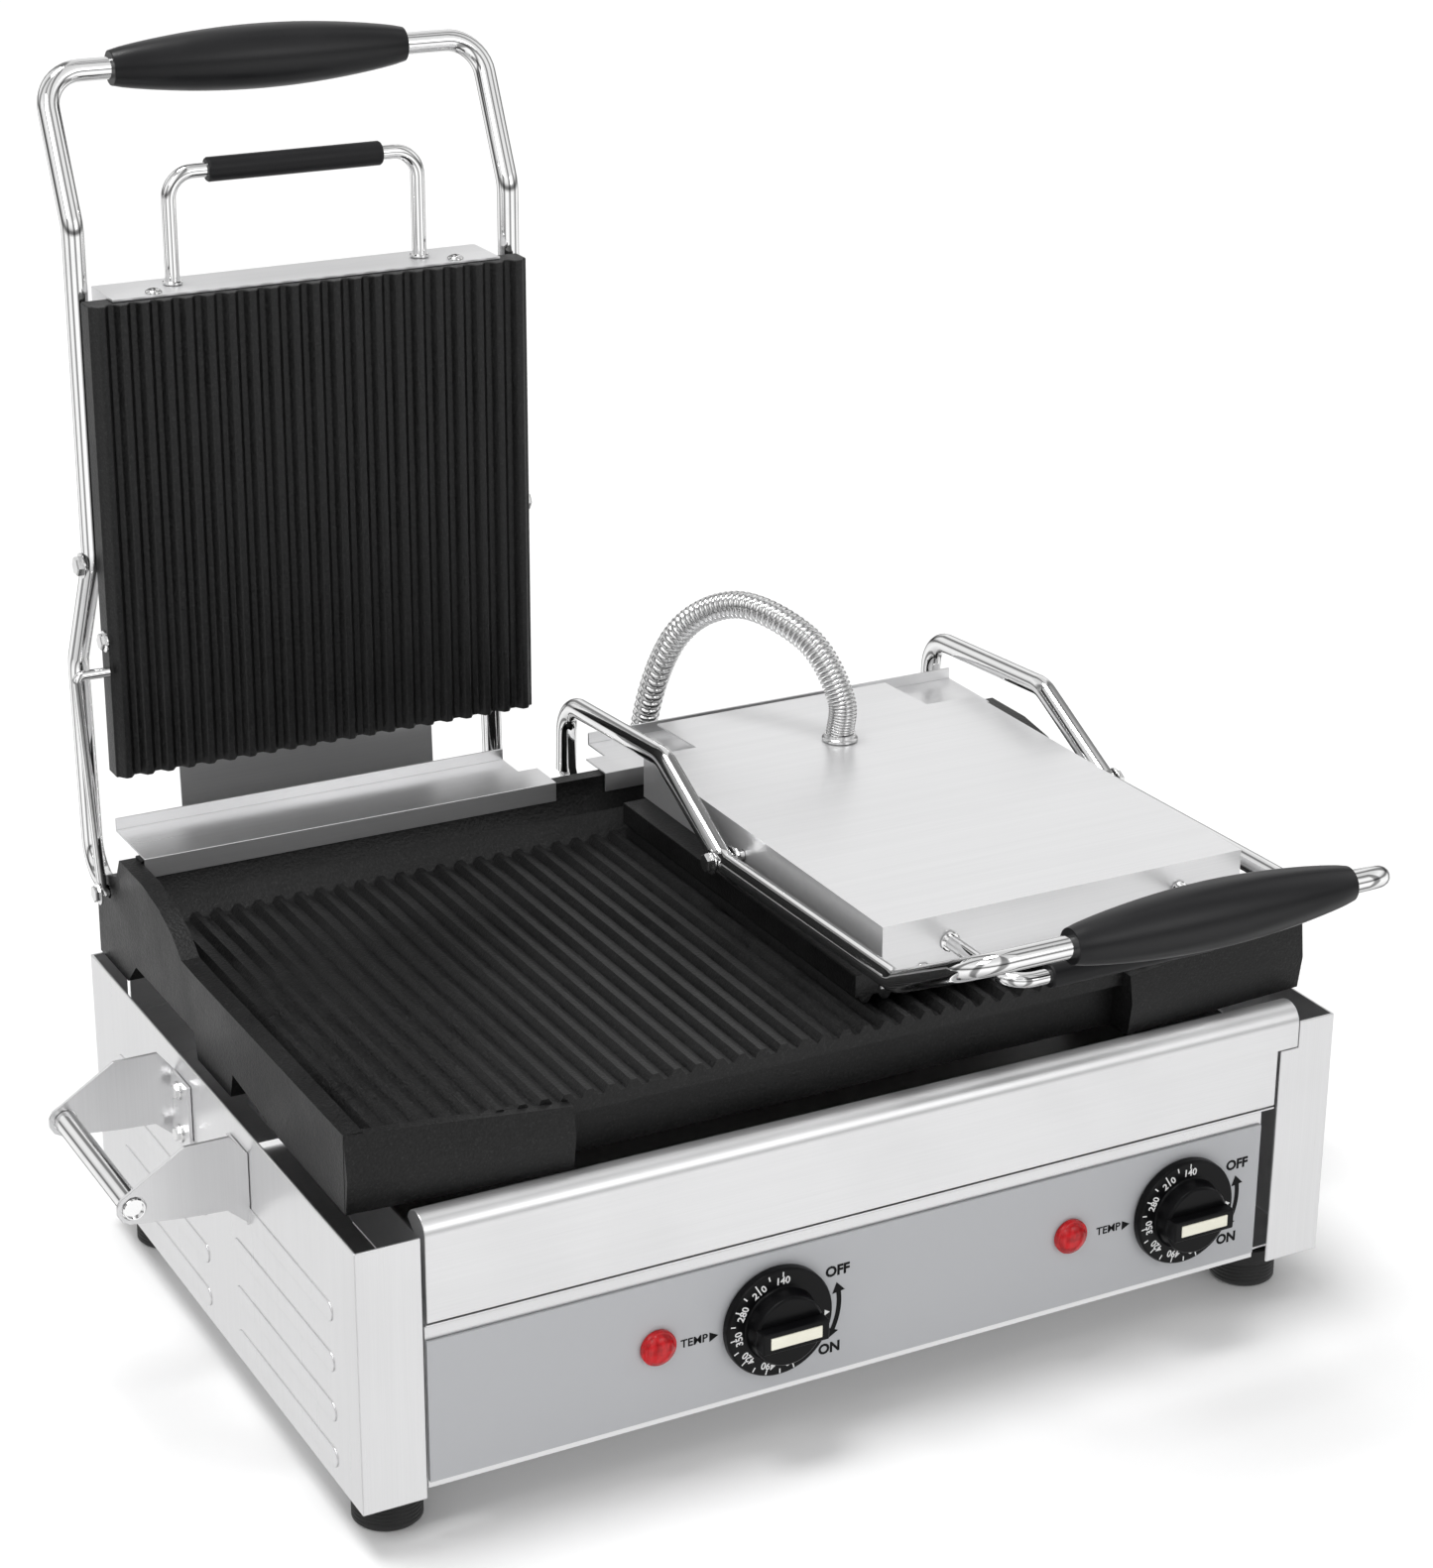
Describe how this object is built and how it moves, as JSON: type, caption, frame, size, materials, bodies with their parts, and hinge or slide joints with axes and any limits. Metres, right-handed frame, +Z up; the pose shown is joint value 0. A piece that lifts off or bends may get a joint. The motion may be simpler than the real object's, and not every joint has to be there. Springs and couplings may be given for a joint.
{
  "type": "double contact grill",
  "caption": "Countertop contact grill with a ribbed iron base plate in a steel housing, hinged ribbed lids on tube arms, dials, lamps and a drip tray.",
  "frame": {"origin": "on the table under the middle of the bounding box of the whole machine as stored, with the left lid open, the right lid closed and the handles included", "axes": "+X to the operator's right, +Y from the control front to the back, +Z up"},
  "size_m": [0.7086, 0.5454, 0.6618],
  "materials": {
    "housing_steel": "brushed stainless sheet",
    "chrome_tube": "bright chrome plate",
    "fastener_steel": "bright plated steel",
    "iron_plate": "black enamelled iron, slightly grained",
    "rubber_foot": "matt black",
    "sleeve_rubber": "matt black",
    "knob_plastic": "satin black",
    "grip_plastic": "satin black",
    "fascia_label": "printed grey film on sheet",
    "ivory_insert": "ivory",
    "red_lens": "red, translucent in use",
    "element_sheath": "heat-dulled sheath",
    "ceramic": "unglazed ceramic, glazed in places",
    "conduit_steel": "bright coiled strip"
  },
  "bodies": {
    "base": {"bottom_plate": "housing_steel", "front_panel": "housing_steel", "control_fascia": "fascia_label", "left_side_panel": "housing_steel", "right_side_panel": "housing_steel", "rear_panel": "housing_steel", "lower_plate": "iron_plate", "foot_front_left": "rubber_foot", "foot_front_right": "rubber_foot", "foot_rear_left": "rubber_foot", "foot_rear_right": "rubber_foot", "left_lamp": "red_lens", "right_lamp": "red_lens", "left_thermostat": "ceramic", "right_thermostat": "ceramic", "left_lower_element": "element_sheath", "right_lower_element": "element_sheath", "terminal_block": "ceramic", "cable_gland": "knob_plastic", "left_handle_tube": "chrome_tube", "right_handle_tube": "chrome_tube", "left_handle_bracket_front": "housing_steel", "left_handle_bracket_rear": "housing_steel", "right_handle_bracket_front": "housing_steel", "right_handle_bracket_rear": "housing_steel", "left_hinge_cover": "housing_steel", "right_hinge_cover": "housing_steel", "left_hinge_rod": "fastener_steel", "right_hinge_rod": "fastener_steel", "left_conduit": "conduit_steel", "right_conduit": "conduit_steel"},
    "tray": {"drip_tray": "housing_steel"},
    "left_arm": {"left_arm_frame": "chrome_tube", "left_grip": "grip_plastic", "left_pivot_bolt_left": "fastener_steel", "left_pivot_bolt_right": "fastener_steel"},
    "left_plate": {"left_upper_plate": "iron_plate", "left_plate_cover": "housing_steel", "left_lift_handle": "chrome_tube", "left_lift_sleeve": "sleeve_rubber", "left_upper_element": "element_sheath", "left_ferrule": "fastener_steel"},
    "left_link": {"left_link_rod": "fastener_steel"},
    "left_dial_knob": {"left_dial": "knob_plastic", "left_dial_insert": "ivory_insert"},
    "right_arm": {"right_arm_frame": "chrome_tube", "right_grip": "grip_plastic", "right_pivot_bolt_left": "fastener_steel", "right_pivot_bolt_right": "fastener_steel"},
    "right_plate": {"right_upper_plate": "iron_plate", "right_plate_cover": "housing_steel", "right_lift_handle": "chrome_tube", "right_lift_sleeve": "sleeve_rubber", "right_upper_element": "element_sheath", "right_ferrule": "fastener_steel"},
    "right_link": {"right_link_rod": "fastener_steel"},
    "right_dial_knob": {"right_dial": "knob_plastic", "right_dial_insert": "ivory_insert"}
  },
  "joints": [
    {"name": "drip_tray_slide", "type": "slide", "parent": "base", "child": "tray", "axis": [0, -1, 0], "range_m": [0, 0.2]},
    {"name": "left_arm_hinge", "type": "hinge", "parent": "base", "child": "left_arm", "pos_m": [-0.137, 0.18367, 0.204], "axis": [-1, 0, 0], "range_deg": [-88.7, 0], "deforming": ["left_conduit"]},
    {"name": "left_plate_tilt", "type": "hinge", "parent": "left_arm", "child": "left_plate", "pos_m": [-0.137, 0.21405, 0.38574], "axis": [-1, 0, 0], "range_deg": [-1.31, 0]},
    {"name": "left_link_turn", "type": "hinge", "parent": "base", "child": "left_link", "pos_m": [-0.282, 0.17067, 0.2125], "axis": [-1, 0, 0], "range_deg": [-96.3, 0]},
    {"name": "left_dial_turn", "type": "hinge", "parent": "base", "child": "left_dial_knob", "pos_m": [-0.058, -0.18933, 0.0725], "axis": [0, 1, 0], "range_deg": [0, 300]},
    {"name": "right_arm_hinge", "type": "hinge", "parent": "base", "child": "right_arm", "pos_m": [0.137, 0.18367, 0.204], "axis": [-1, 0, 0], "range_deg": [0, 88.7], "deforming": ["right_conduit"]},
    {"name": "right_plate_tilt", "type": "hinge", "parent": "right_arm", "child": "right_plate", "pos_m": [0.137, 0.00267, 0.2385], "axis": [-1, 0, 0], "range_deg": [0, 1.31]},
    {"name": "right_link_turn", "type": "hinge", "parent": "base", "child": "right_link", "pos_m": [0.282, 0.17067, 0.2125], "axis": [-1, 0, 0], "range_deg": [0, 96.3]},
    {"name": "right_dial_turn", "type": "hinge", "parent": "base", "child": "right_dial_knob", "pos_m": [0.191, -0.18933, 0.0725], "axis": [0, 1, 0], "range_deg": [0, 300]}
  ],
  "couplings": [
    {"joint": "left_plate_tilt", "follows": "left_arm_hinge", "ratio": 0.014656},
    {"joint": "left_link_turn", "follows": "left_arm_hinge", "ratio": 1.0845},
    {"joint": "right_plate_tilt", "follows": "right_arm_hinge", "ratio": 0.014656},
    {"joint": "right_link_turn", "follows": "right_arm_hinge", "ratio": 1.0845}
  ]
}
